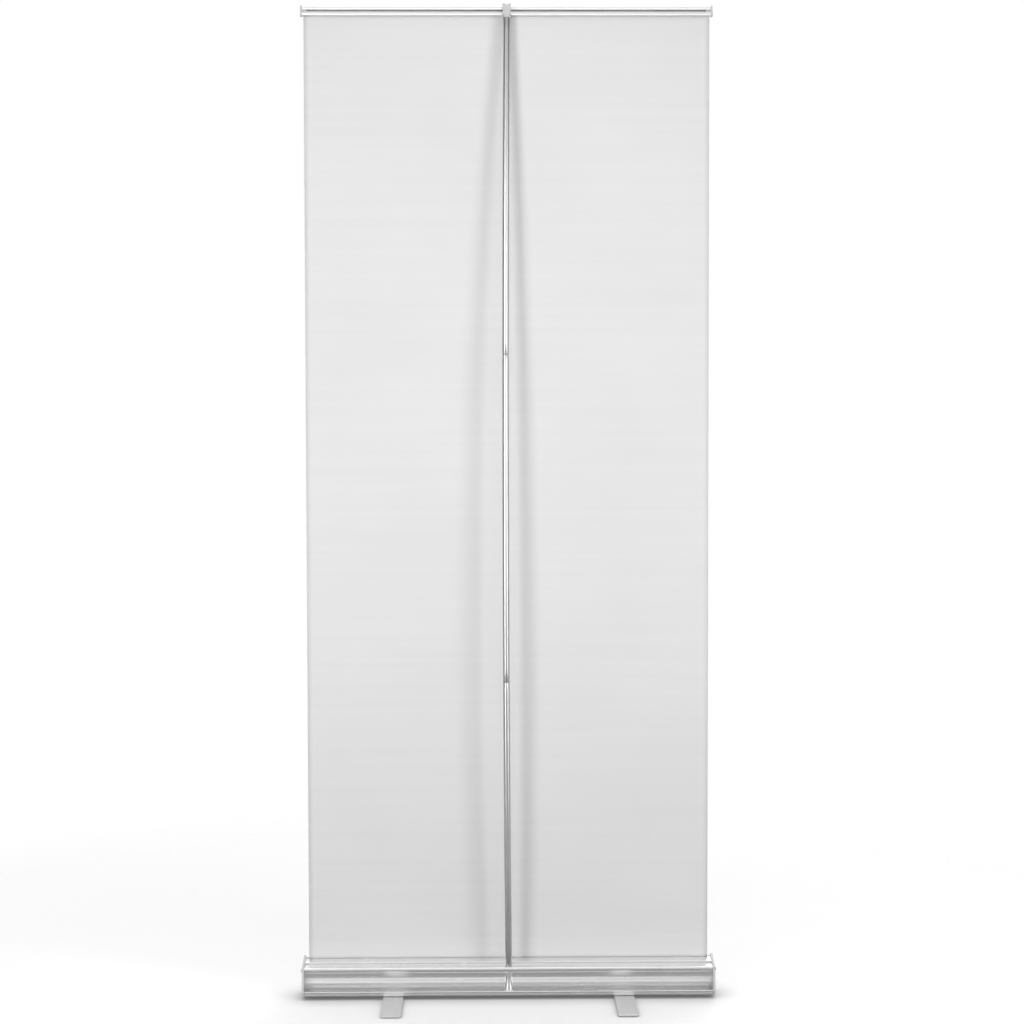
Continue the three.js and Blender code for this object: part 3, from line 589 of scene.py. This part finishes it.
def addWorld(look):
    # white where the camera looks; for light, bright before and behind, dim to the sides
    world = bpy.data.worlds.new("studioWorld")
    world.use_nodes = True
    scene.world = world
    tree = world.node_tree
    background = tree.nodes["Background"]
    direction = addNode(tree, "ShaderNodeSeparateXYZ",
                        {0: addNode(tree, "ShaderNodeTexCoord").outputs["Generated"]})
    side = look["worldSide"]
    front = spread(tree, direction.outputs["Y"], -0.55, -0.75, 0.0, look["worldFront"] - side)
    back = spread(tree, direction.outputs["Y"], 0.3, 0.7, side, look["worldBack"])
    top = spread(tree, direction.outputs["Z"], 0.3, 0.75, 0.0, look["worldTop"])
    lit = mathNode(tree, "ADD", mathNode(tree, "ADD", front, back), top)
    seen = addNode(tree, "ShaderNodeLightPath").outputs["Is Camera Ray"]
    strength = addNode(tree, "ShaderNodeMix", {0: seen, 2: lit, 3: 1.0}, data_type="FLOAT")
    tree.links.new(strength.outputs[0], background.inputs["Strength"])
    background.inputs["Color"].default_value = (1, 1, 1, 1)


addCamera(studio["camera"])
for lamp in ("rightBox", "leftBox", "overhead", "backBox"):
    addSoftbox(lamp, studio[lamp], studio["aim"])
panels = studio["frontPanels"]
for index, turn in enumerate(panels["turns"]):
    bearing = math.radians(turn)
    place = (panels["away"] * math.sin(bearing), -panels["away"] * math.cos(bearing),
             panels["height"])
    addSoftbox(f"frontPanel{index}", {**panels, "place": place}, panels["aim"],
               panels["spread"])
addFloor(studio)
addWorld(studio)
scene.view_settings.view_transform = "Standard"
print("studio set")


# the pole's line: a shallow parabola from the ledge up to the rail

poleLine = {"foot": (0, 43.97, 67.0), "tip": (0, 13.3, 2061.3), "bowBack": 24, "bowLeft": 4.5}


def linePoint(x, depth, height):
    return Vector((x * mm, filmY - depth * mm, height * mm))


poleFoot, poleTip = linePoint(*poleLine["foot"]), linePoint(*poleLine["tip"])
poleBow = Vector((-poleLine["bowLeft"] * mm, -poleLine["bowBack"] * mm, 0))
poleSpan = poleTip.z - poleFoot.z


def bendAlongPole(bm):
    # a shape standing on the origin is laid on the pole's line by its height
    for vert in bm.verts:
        share = vert.co.z / poleSpan
        spot = poleFoot.lerp(poleTip, share) + poleBow * (4 * share * (1 - share))
        direction = poleTip - poleFoot + poleBow * (4 * (1 - 2 * share))
        turn = Vector((0, 0, 1)).rotation_difference(direction)
        vert.co = spot + turn @ Vector((vert.co.x, vert.co.y, 0))
    faceOutwards(bm)
    return bm


# banner film

banner = {
    "width": 850, "thickness": 0.3, "across": 68, "down": 168,
    "edgeCurl": 1.0,     # side edges lean back to the pole's side
    "ripple": 0.9,       # slow waves across the face
    "rippleScale": 2.1,
}


def buildBanner(look):
    low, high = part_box("banner_sheet")
    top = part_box("rail_profile")[0].z
    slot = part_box("cassette_housing")[1].z
    bm = bmesh.new()
    bmesh.ops.create_grid(bm, x_segments=look["across"], y_segments=look["down"], size=0.5)
    film = bm.loops.layers.uv.new("film")
    for vert in bm.verts:
        vert.co = Vector((vert.co.x * look["width"] * mm, 0,
                          low.z + (vert.co.y + 0.5) * (high.z - low.z)))
    for face in bm.faces:
        for loop in face.loops:
            loop[film].uv = (loop.vert.co.x, loop.vert.co.z)
    half = look["width"] * mm / 2
    for vert in bm.verts:
        share = min(1.0, max(0.0, (vert.co.z - slot) / (top - slot)))
        free = math.sin(math.pi * share) ** 0.5 if 0 < share < 1 else 0
        free *= min(1.0, share * 9, (1 - share) * 9)
        curl = look["edgeCurl"] * abs(vert.co.x / half) ** 7
        wave = look["ripple"] * noise.noise(Vector((vert.co.x * look["rippleScale"] * 1.6,
                                                    vert.co.z * look["rippleScale"], 3.7)))
        vert.co.y = filmY - (curl + wave) * free * mm
    bmesh.ops.recalc_face_normals(bm, faces=bm.faces)
    if sum(face.normal.y for face in bm.faces) > 0:  # the grid looks to the pole's side
        bmesh.ops.reverse_faces(bm, faces=bm.faces)
    piece = finishPiece("banner_film", bm, [finishes["filmBack"], finishes["filmFace"]],
                        "rail", ["banner_sheet"])
    body = piece.modifiers.new("filmThickness", "SOLIDIFY")
    body.thickness = look["thickness"] * mm
    body.offset = 0
    body.material_offset = 1
    return piece, low, top


bannerFilm, filmLow, railUnder = buildBanner(banner)
print("banner film made")


# cassette

housing = {
    # corners as (depth, height, radius), from the slot round the outside and back inside
    "section": [
        (3.0, 73.7, 0.6), (30.97, 70.7, 1.9), (30.97, 65.2, 0.6), (56.97, 65.2, 4.9),
        (56.97, 53.2, 4.9), (35.97, 53.2, 0.7), (35.97, 20.3, 22.0), (69.47, 17.7, 1.3),
        (69.47, 14.3, 0.2), (67.97, 13.7, 0.25), (67.97, 12.7, 0.25), (69.47, 12.1, 0.2),
        (69.47, 7.9, 1.2), (-10.0, 7.9, 7.5), (-10.0, 58.0, 9.5), (-8.1, 69.6, 4.2),
        (-3.0, 73.7, 0.5), (-3.0, 71.9, 0.3), (-6.5, 68.8, 3.4), (-8.2, 57.7, 8.5),
        (-8.2, 9.7, 5.5), (34.17, 9.7, 0.6), (34.17, 63.4, 0.5), (29.17, 63.4, 0.5),
        (29.17, 69.0, 1.0), (3.0, 71.9, 0.4),
    ],
    "socketHole": (7.3, 50, 68),  # radius, and the heights its cutter runs between
    "pivotHole": (3.3, 6, 12),
}
seat = {"x": 0.138, "depth": 43.47}  # where the pole's pin goes down through the ledge


def sectionPlace(x):
    return lambda depth, height: Vector((x, filmY - depth * mm, height * mm))


def buildHousing(look):
    low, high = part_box("cassette_housing")
    bm = extruded(look["section"], sectionPlace(low.x), (high.x - low.x, 0, 0))
    hole, below, above = look["socketHole"]
    cutter = spun([(0, below), (hole, below), (hole, above), (0, above)], 48,
                  place=(seat["x"] * mm, filmY - seat["depth"] * mm, 0))
    hole, below, above = look["pivotHole"]
    for name in ("left", "right"):
        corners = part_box(f"{name}_foot_pivot_bolt")
        middle = (corners[0] + corners[1]) / 2
        absorb(cutter, spun([(0, below), (hole, below), (hole, above), (0, above)], 32,
                            place=(middle.x, middle.y, 0)))
    finishPiece("cassette_extrusion", cutWith(bm, cutter), finishes["anodisedBar"],
                "cassette", ["cassette_housing"], 24)


endCap = {
    "outline": [
        (6.0, 79.2, 1.2), (30.97, 72.0, 3.0), (57.9, 65.9, 4.8), (70.67, 17.8, 3.0),
        (70.67, 7.6, 1.6), (-11.2, 7.6, 7.5), (-11.2, 60.0, 9.5), (-8.2, 70.2, 4.0),
        (-3.0, 79.2, 1.2),
    ],
    "rim": 2.0, "recess": 0.8, "edgeRound": 0.7,
    "screws": [(-5.0, 12.9), (51.47, 59.2)],  # depth and height
    "boss": 5.0, "hub": 8.0, "hubReach": 5.8, "roller": (13.85, 35.97),
    "bores": {"left": 3.6, "right": 4.3},     # for the spring's shaft and the roller's axle
}


def buildEndCap(name, side, look):
    low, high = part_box("right_end_cap")
    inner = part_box("cassette_housing")[1].x + 0.3 * mm
    bm = extruded(look["outline"], sectionPlace(inner), (high.x - inner, 0, 0))
    outer = max(bm.faces, key=lambda f: f.calc_center_median().x)
    bmesh.ops.inset_individual(bm, faces=[outer], thickness=look["rim"] * mm,
                               depth=-look["recess"] * mm, use_even_offset=True)
    softenRim(bm, lambda e: all(v.co.x > high.x - 1e-5 for v in e.verts)
              and any(abs(f.normal.x) < 0.5 and f.calc_area() > 0 for f in e.link_faces),
              look["edgeRound"] * 0.6)
    face = high.x / mm
    plateIn = inner / mm
    for depth, height in look["screws"]:
        absorb(bm, spun([(0, face - 2), (look["boss"], face - 2), (look["boss"], face - 0.3),
                         (look["boss"] - 0.4, face), (0, face)], 40, "X",
                        (0, filmY - depth * mm, height * mm)))
    depth, height = look["roller"]
    hub, bore, hubEnd = look["hub"], look["bores"][name], plateIn - look["hubReach"]
    absorb(bm, spun([(bore, hubEnd), (hub - 0.5, hubEnd), (hub, hubEnd + 0.5),
                     (hub, plateIn + 1), (bore, plateIn + 1)], 40, "X",
                    (0, filmY - depth * mm, height * mm), closedLoop=True))
    if side < 0:
        mirroredX(bm)
    finishPiece(f"{name}_end_cap_moulding", bm, finishes["paleMould"], "cassette",
                [f"{name}_end_cap"], 30)


capScrew = {"head": 3.6, "rise": 2.2, "shank": 1.7, "length": 18, "gap": 0.15,
            "cross": (3.6, 0.9, 1.3)}  # length, width and depth of the recess


def buildCapScrew(name, side, place, look):
    # pan head with a cross recess
    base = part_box("right_end_cap")[1].x / mm + look["gap"]
    head, rise = look["head"], look["rise"]
    bm = spun([(0, base - look["length"]), (0.9, base - look["length"]),
               (look["shank"], base - look["length"] + 2.5), (look["shank"], base),
               (head - 0.15, base), (head, base + 0.2), (head, base + rise * 0.4),
               (head * 0.92, base + rise * 0.68), (head * 0.74, base + rise * 0.88),
               (head * 0.4, base + rise * 0.98), (0, base + rise)], 32, "X")
    long, wide, deep = look["cross"]
    a, b = long / 2, wide / 2
    outline = [(a, b, 0), (b, b, 0), (b, a, 0), (-b, a, 0), (-b, b, 0), (-a, b, 0),
               (-a, -b, 0), (-b, -b, 0), (-b, -a, 0), (b, -a, 0), (b, -b, 0), (a, -b, 0)]
    floor = (base + rise - deep) * mm
    cross = extruded(outline, lambda y, z: Vector((floor, y * mm, z * mm)), (2 * deep * mm, 0, 0))
    bm = cutWith(bm, cross)
    depth, height = place
    bmesh.ops.translate(bm, verts=bm.verts, vec=(0, filmY - depth * mm, height * mm))
    if side < 0:
        mirroredX(bm)
    finishPiece(f"{name}_head", bm, finishes["zincSteel"], "cassette", [name], 30)


socket = {
    "profile": [(0, 18.2), (9.3, 18.2), (9.3, 20.5), (8.7, 24.0), (8.1, 28.0), (7.5, 33.0),
                (7.15, 38.0), (7.0, 44.0), (7.0, 65.35), (8.0, 65.35), (8.2, 65.5), (8.2, 65.8),
                (8.0, 65.95), (5.6, 65.95), (5.3, 65.6), (5.3, 37.2), (0, 37.2)],
}


def buildSocket(look):
    bm = spun(look["profile"], 56, place=(seat["x"] * mm, filmY - seat["depth"] * mm, 0))
    finishPiece("pole_socket_tube", bm, finishes["socketTube"], "cassette",
                ["pole_socket"], 35)


buildHousing(housing)
for side, name in ((-1, "left"), (1, "right")):
    buildEndCap(name, side, endCap)
    for place, spotAt in zip(("front", "rear"), endCap["screws"]):
        buildCapScrew(f"{name}_cap_screw_{place}", side, spotAt, capScrew)
buildSocket(socket)
print("cassette made")


# feet

foot = {
    "corner": 4.5, "edgeRound": 0.8,
    "tip": 30, "drop": 1.4,  # the last stretch slopes down by this much
    "countersink": 7.3, "bolt": 3.3, "headHeight": 3.3,
    "stem": 2.8, "stemHeight": 2.5, "padInset": 42,
}
# a pad's half section as (radius, height)
footPad = [(0, 0.35), (2.2, 0.35), (2.6, 0), (4.4, 0), (4.7, 0.4), (5.2, 0.4), (5.5, 0),
           (7.2, 0), (7.8, 0.3), (8.0, 0.8), (8.0, 1.2), (7.7, 1.5), (2.5, 1.5), (2.5, 3.8),
           (2.3, 4.0), (0, 4.0)]


def buildFoot(name, look):
    low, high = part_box(f"{name}_foot")
    middle = (low + high) / 2
    size = high - low
    corner = look["corner"]
    outline = [(x, y, corner) for x, y in ((low.x, low.y), (high.x, low.y), (high.x, high.y),
                                           (low.x, high.y))]
    bm = extruded(outline, lambda x, y: Vector((x, y, low.z)), (0, 0, size.z))
    reach = size.y / 2 - look["tip"] * mm
    for sign in (-1, 1):
        bmesh.ops.bisect_plane(bm, geom=bm.verts[:] + bm.edges[:] + bm.faces[:],
                               plane_co=(0, middle.y + sign * reach, 0), plane_no=(0, sign, 0))
    for vert in bm.verts:
        past = max(0.0, abs(vert.co.y - middle.y) - reach)
        if vert.co.z > middle.z:
            vert.co.z -= look["drop"] * mm * past / (look["tip"] * mm)
    softenRim(bm, lambda e: all(v.co.z > middle.z for v in e.verts)
              and any(abs(f.normal.z) < 0.5 for f in e.link_faces), look["edgeRound"])
    base = low.z / mm
    head = base + look["headHeight"]
    cutter = spun([(0, base - 1), (look["countersink"] + 0.9, base - 1), (look["bolt"], head),
                   (look["bolt"], 8), (0, 8)], 48, place=(middle.x, middle.y, 0))
    for sign in (-1, 1):
        padY = middle.y + sign * (size.y / 2 - look["padInset"] * mm)
        stemTop = base + look["stemHeight"]
        absorb(cutter, spun([(0, base - 1), (look["stem"], base - 1),
                             (look["stem"], stemTop), (0, stemTop)], 32,
                            place=(middle.x, padY, 0)))
    finishPiece(f"{name}_foot_bar", cutWith(bm, cutter), finishes["anodisedFoot"],
                f"{name}_foot", [f"{name}_foot"], 30)
    for end in ("rear", "front"):
        node = f"{name}_foot_{end}_pad"
        padLow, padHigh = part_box(node)
        centre = (padLow + padHigh) / 2
        finishPiece(f"{node}_moulding", spun(footPad, 40, place=(centre.x, centre.y, 0)),
                    finishes["rubber"], f"{name}_foot", [node], 35)


for name in ("left", "right"):
    buildFoot(name, foot)
print("feet made")


# rail

rail = {
    # corners as (depth, height over the underside, radius)
    "section": [
        (-1.2, 0, 0.3), (-6, 0, 1.0), (-6, 20, 3.0), (6, 20, 3.0), (6, 11.8, 0.35),
        (4.5, 11.8, 0.2), (4.5, 18.5, 1.2), (-4.5, 18.5, 1.2), (-4.5, 8.3, 0.3), (6, 8.3, 0.35),
        (6, 0, 1.0), (1.2, 0, 0.3), (1.2, 1.5, 0.2), (4.5, 1.5, 0.3), (4.5, 6.8, 0.3),
        (-4.5, 6.8, 0.3), (-4.5, 1.5, 0.3), (-1.2, 1.5, 0.2),
    ],
    "capHalf": 7, "capOver": 1.5, "capCorner": 3.0, "capRound": 1.0,
    "spigot": (10, 8.2, 9.4), "spigotMiddle": 13.4,  # length, depth, height; over the underside
}


def buildRail(look):
    low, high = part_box("rail_profile")
    base = low.z / mm
    lifted = [(depth, height + base, radius) for depth, height, radius in look["section"]]
    bm = extruded(lifted, sectionPlace(low.x), (high.x - low.x, 0, 0))
    finishPiece("rail_extrusion", bm, finishes["anodisedRail"], "rail",
                ["rail_profile"], 24)
    half, over = look["capHalf"], look["capOver"]
    top = high.z / mm
    outline = [(-half, base - over, look["capCorner"]), (half, base - over, look["capCorner"]),
               (half, top + over, look["capCorner"]), (-half, top + over, look["capCorner"])]
    for side, name in ((-1, "left"), (1, "right")):
        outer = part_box("right_rail_cap")[1].x
        inner = high.x + 0.3 * mm
        cap = extruded(outline, sectionPlace(inner), (outer - inner, 0, 0))
        softenRim(cap, lambda e: all(v.co.x > outer - 1e-5 for v in e.verts),
                  look["capRound"], 4)
        spigot = bmesh.new()
        bmesh.ops.create_cube(spigot, size=1)
        length, deep, tall = look["spigot"]
        reach = (length + 1) * mm
        bmesh.ops.scale(spigot, verts=spigot.verts, vec=(reach, deep * mm, tall * mm))
        bmesh.ops.translate(spigot, verts=spigot.verts, vec=(
            inner + mm - reach / 2, filmY, (base + look["spigotMiddle"]) * mm))
        absorb(cap, spigot)
        if side < 0:
            mirroredX(cap)
        finishPiece(f"{name}_rail_cap_moulding", cap, finishes["paleMould"], "rail",
                    [f"{name}_rail_cap"], 30)


buildRail(rail)
print("rail made")


# pole

pole = {
    "radius": 7.0, "wall": 1.0, "lengths": (0, 602, 1290, 1994.3), "gap": 0.3,
    "endRound": 0.7, "sides": 56, "station": 28,
    "neck": 0.35, "neckLength": 7,  # each tube's top is drawn in a little at its joint
}


def tubeProfile(start, end, look, necked):
    outer, inner = look["radius"], look["radius"] - look["wall"]
    count = max(2, round((end - start) / look["station"]))
    heights = [start + (end - start) * i / count for i in range(1, count)]
    soft = look["endRound"]
    tall = [h for h in heights if h < end - 2 * look["neckLength"]]
    wallOut = [(outer - soft, start), (outer - soft * 0.3, start + soft * 0.3),
               (outer, start + soft)] + [(outer, h) for h in tall]
    if necked:
        wallOut += [(outer, end - look["neckLength"] - 3),
                    (outer - look["neck"], end - look["neckLength"])]
        outer -= look["neck"]
    wallOut += [(outer, end - soft), (outer - soft * 0.3, end - soft * 0.3), (outer - soft, end)]
    wallIn = [(inner, end)] + [(inner, h) for h in reversed(heights)] + [(inner, start)]
    return wallOut + wallIn


def buildPole(look):
    stops = look["lengths"]
    for index, name in enumerate(("bottom", "middle", "top")):
        start = stops[index] + (look["gap"] if index else 0)
        profile = tubeProfile(start, stops[index + 1], look, index < 2)
        bm = bendAlongPole(spun(profile, look["sides"], closedLoop=True))
        finishPiece(f"pole_{name}_drawn_tube", bm, finishes["drawnTube"], f"pole_{name}",
                    [f"pole_{name}_tube"], 40)


# the plug's half section as (radius, height along the pole)
seatPlug = [(0, -28.8), (3.4, -28.8), (4.3, -28.4), (4.6, -27.6), (4.6, -0.9), (5.0, -0.82),
            (6.35, -0.45), (6.5, -0.3), (5.7, -0.3), (5.7, 22), (0, 22)]

poleHead = {
    "width": 18, "skirt": 1.5, "front": 6.3, "rear": 20.3, "corner": 3.2, "rimRound": 1.1,
    "waist": (10.0, 1.9, 1.1),  # height over the rail's underside, half height, how deep
    "ears": (4.4, 2.1),         # width and height
    "collar": 8.6, "collarBore": 7.1, "collarDrop": 3.6,
    "finger": (12, 2.5, 4.0, 10.05),  # width, thickness, reach and height
    "railHalf": 6,
    "spigot": 5.7, "spigotDrop": 26,
}


def buildHead(look):
    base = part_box("rail_profile")[0].z / mm
    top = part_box("pole_head")[1].z / mm
    half, waistAt = look["width"] / 2, base + look["waist"][0]
    low, pinch, deep = base - look["skirt"], look["waist"][1], look["waist"][2]
    earX, notch = half - look["ears"][0], top - look["ears"][1]
    outline = [(-half, low, look["corner"]), (half, low, look["corner"]),
               (half, waistAt - pinch, 0.8), (half - deep, waistAt, 0.6),
               (half, waistAt + pinch, 0.8), (half, top, look["corner"]),
               (earX, top, 0.9), (earX - 0.7, notch, 0.8), (-earX + 0.7, notch, 0.8),
               (-earX, top, 0.9), (-half, top, look["corner"]),
               (-half, waistAt + pinch, 0.8), (-half + deep, waistAt, 0.6),
               (-half, waistAt - pinch, 0.8)]
    rearY = filmY - look["rear"] * mm
    bm = extruded(outline, lambda x, z: Vector((x * mm, rearY, z * mm)),
                  (0, (look["rear"] - look["front"]) * mm, 0))
    softenRim(bm, lambda e: all(v.co.y < rearY + 1e-6 for v in e.verts), look["rimRound"])
    wide, thick, reach, height = look["finger"]
    finger = bmesh.new()
    bmesh.ops.create_cube(finger, size=1)
    length = (look["front"] + 2 - look["railHalf"] + reach) * mm  # 2 of it inside the head
    bmesh.ops.scale(finger, verts=finger.verts, vec=(wide * mm, length, thick * mm))
    bmesh.ops.translate(finger, verts=finger.verts, vec=(
        0, filmY - (look["railHalf"] - reach) * mm - length / 2, (base + height) * mm))
    softenRim(finger, lambda e: True, 0.4, 2)
    tipZ = poleSpan / mm
    bore, wide, rim = look["collarBore"], look["collar"], tipZ - look["collarDrop"]
    collar = spun([(bore, rim), (wide - 0.6, rim), (wide, rim + 0.6), (wide, tipZ + 3),
                   (bore, tipZ + 3)], 48, closedLoop=True)
    wide, end = look["spigot"], tipZ - look["spigotDrop"]
    spigot = spun([(0, end), (wide - 0.5, end), (wide, end + 0.6), (wide, tipZ + 2),
                   (0, tipZ + 2)], 32)
    absorb(bm, finger, bendAlongPole(collar), bendAlongPole(spigot))
    finishPiece("pole_head_moulding", bm, finishes["paleMould"], "pole_top",
                ["pole_head"], 30)


buildPole(pole)
finishPiece("pole_seat_plug_moulding", bendAlongPole(spun(seatPlug, 48)), finishes["greyMould"],
            "pole_bottom", ["pole_seat_plug"], 35)
buildHead(poleHead)
print("pole made")


# finishes of the CAD pieces that stay as they are

kept = {
    "zincSteel": ["spring_shaft", "torsion_spring", "roller_tube", "lower_ferrule",
                  "upper_ferrule", "left_foot_pivot_bolt", "right_foot_pivot_bolt",
                  "left_foot_pivot_nut", "right_foot_pivot_nut"],
    "nylon": ["roller_spring_plug", "roller_axle_plug", "rail_grip_strip", "left_foot_washer",
              "right_foot_washer"],
    "greyMould": ["film_roll"],
    "elasticCord": ["bungee_cord"],
}
for finish, names in kept.items():
    for name in names:
        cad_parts[name].material_slots[0].material = finishes[finish]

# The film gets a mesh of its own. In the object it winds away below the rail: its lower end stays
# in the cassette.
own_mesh(bannerFilm)
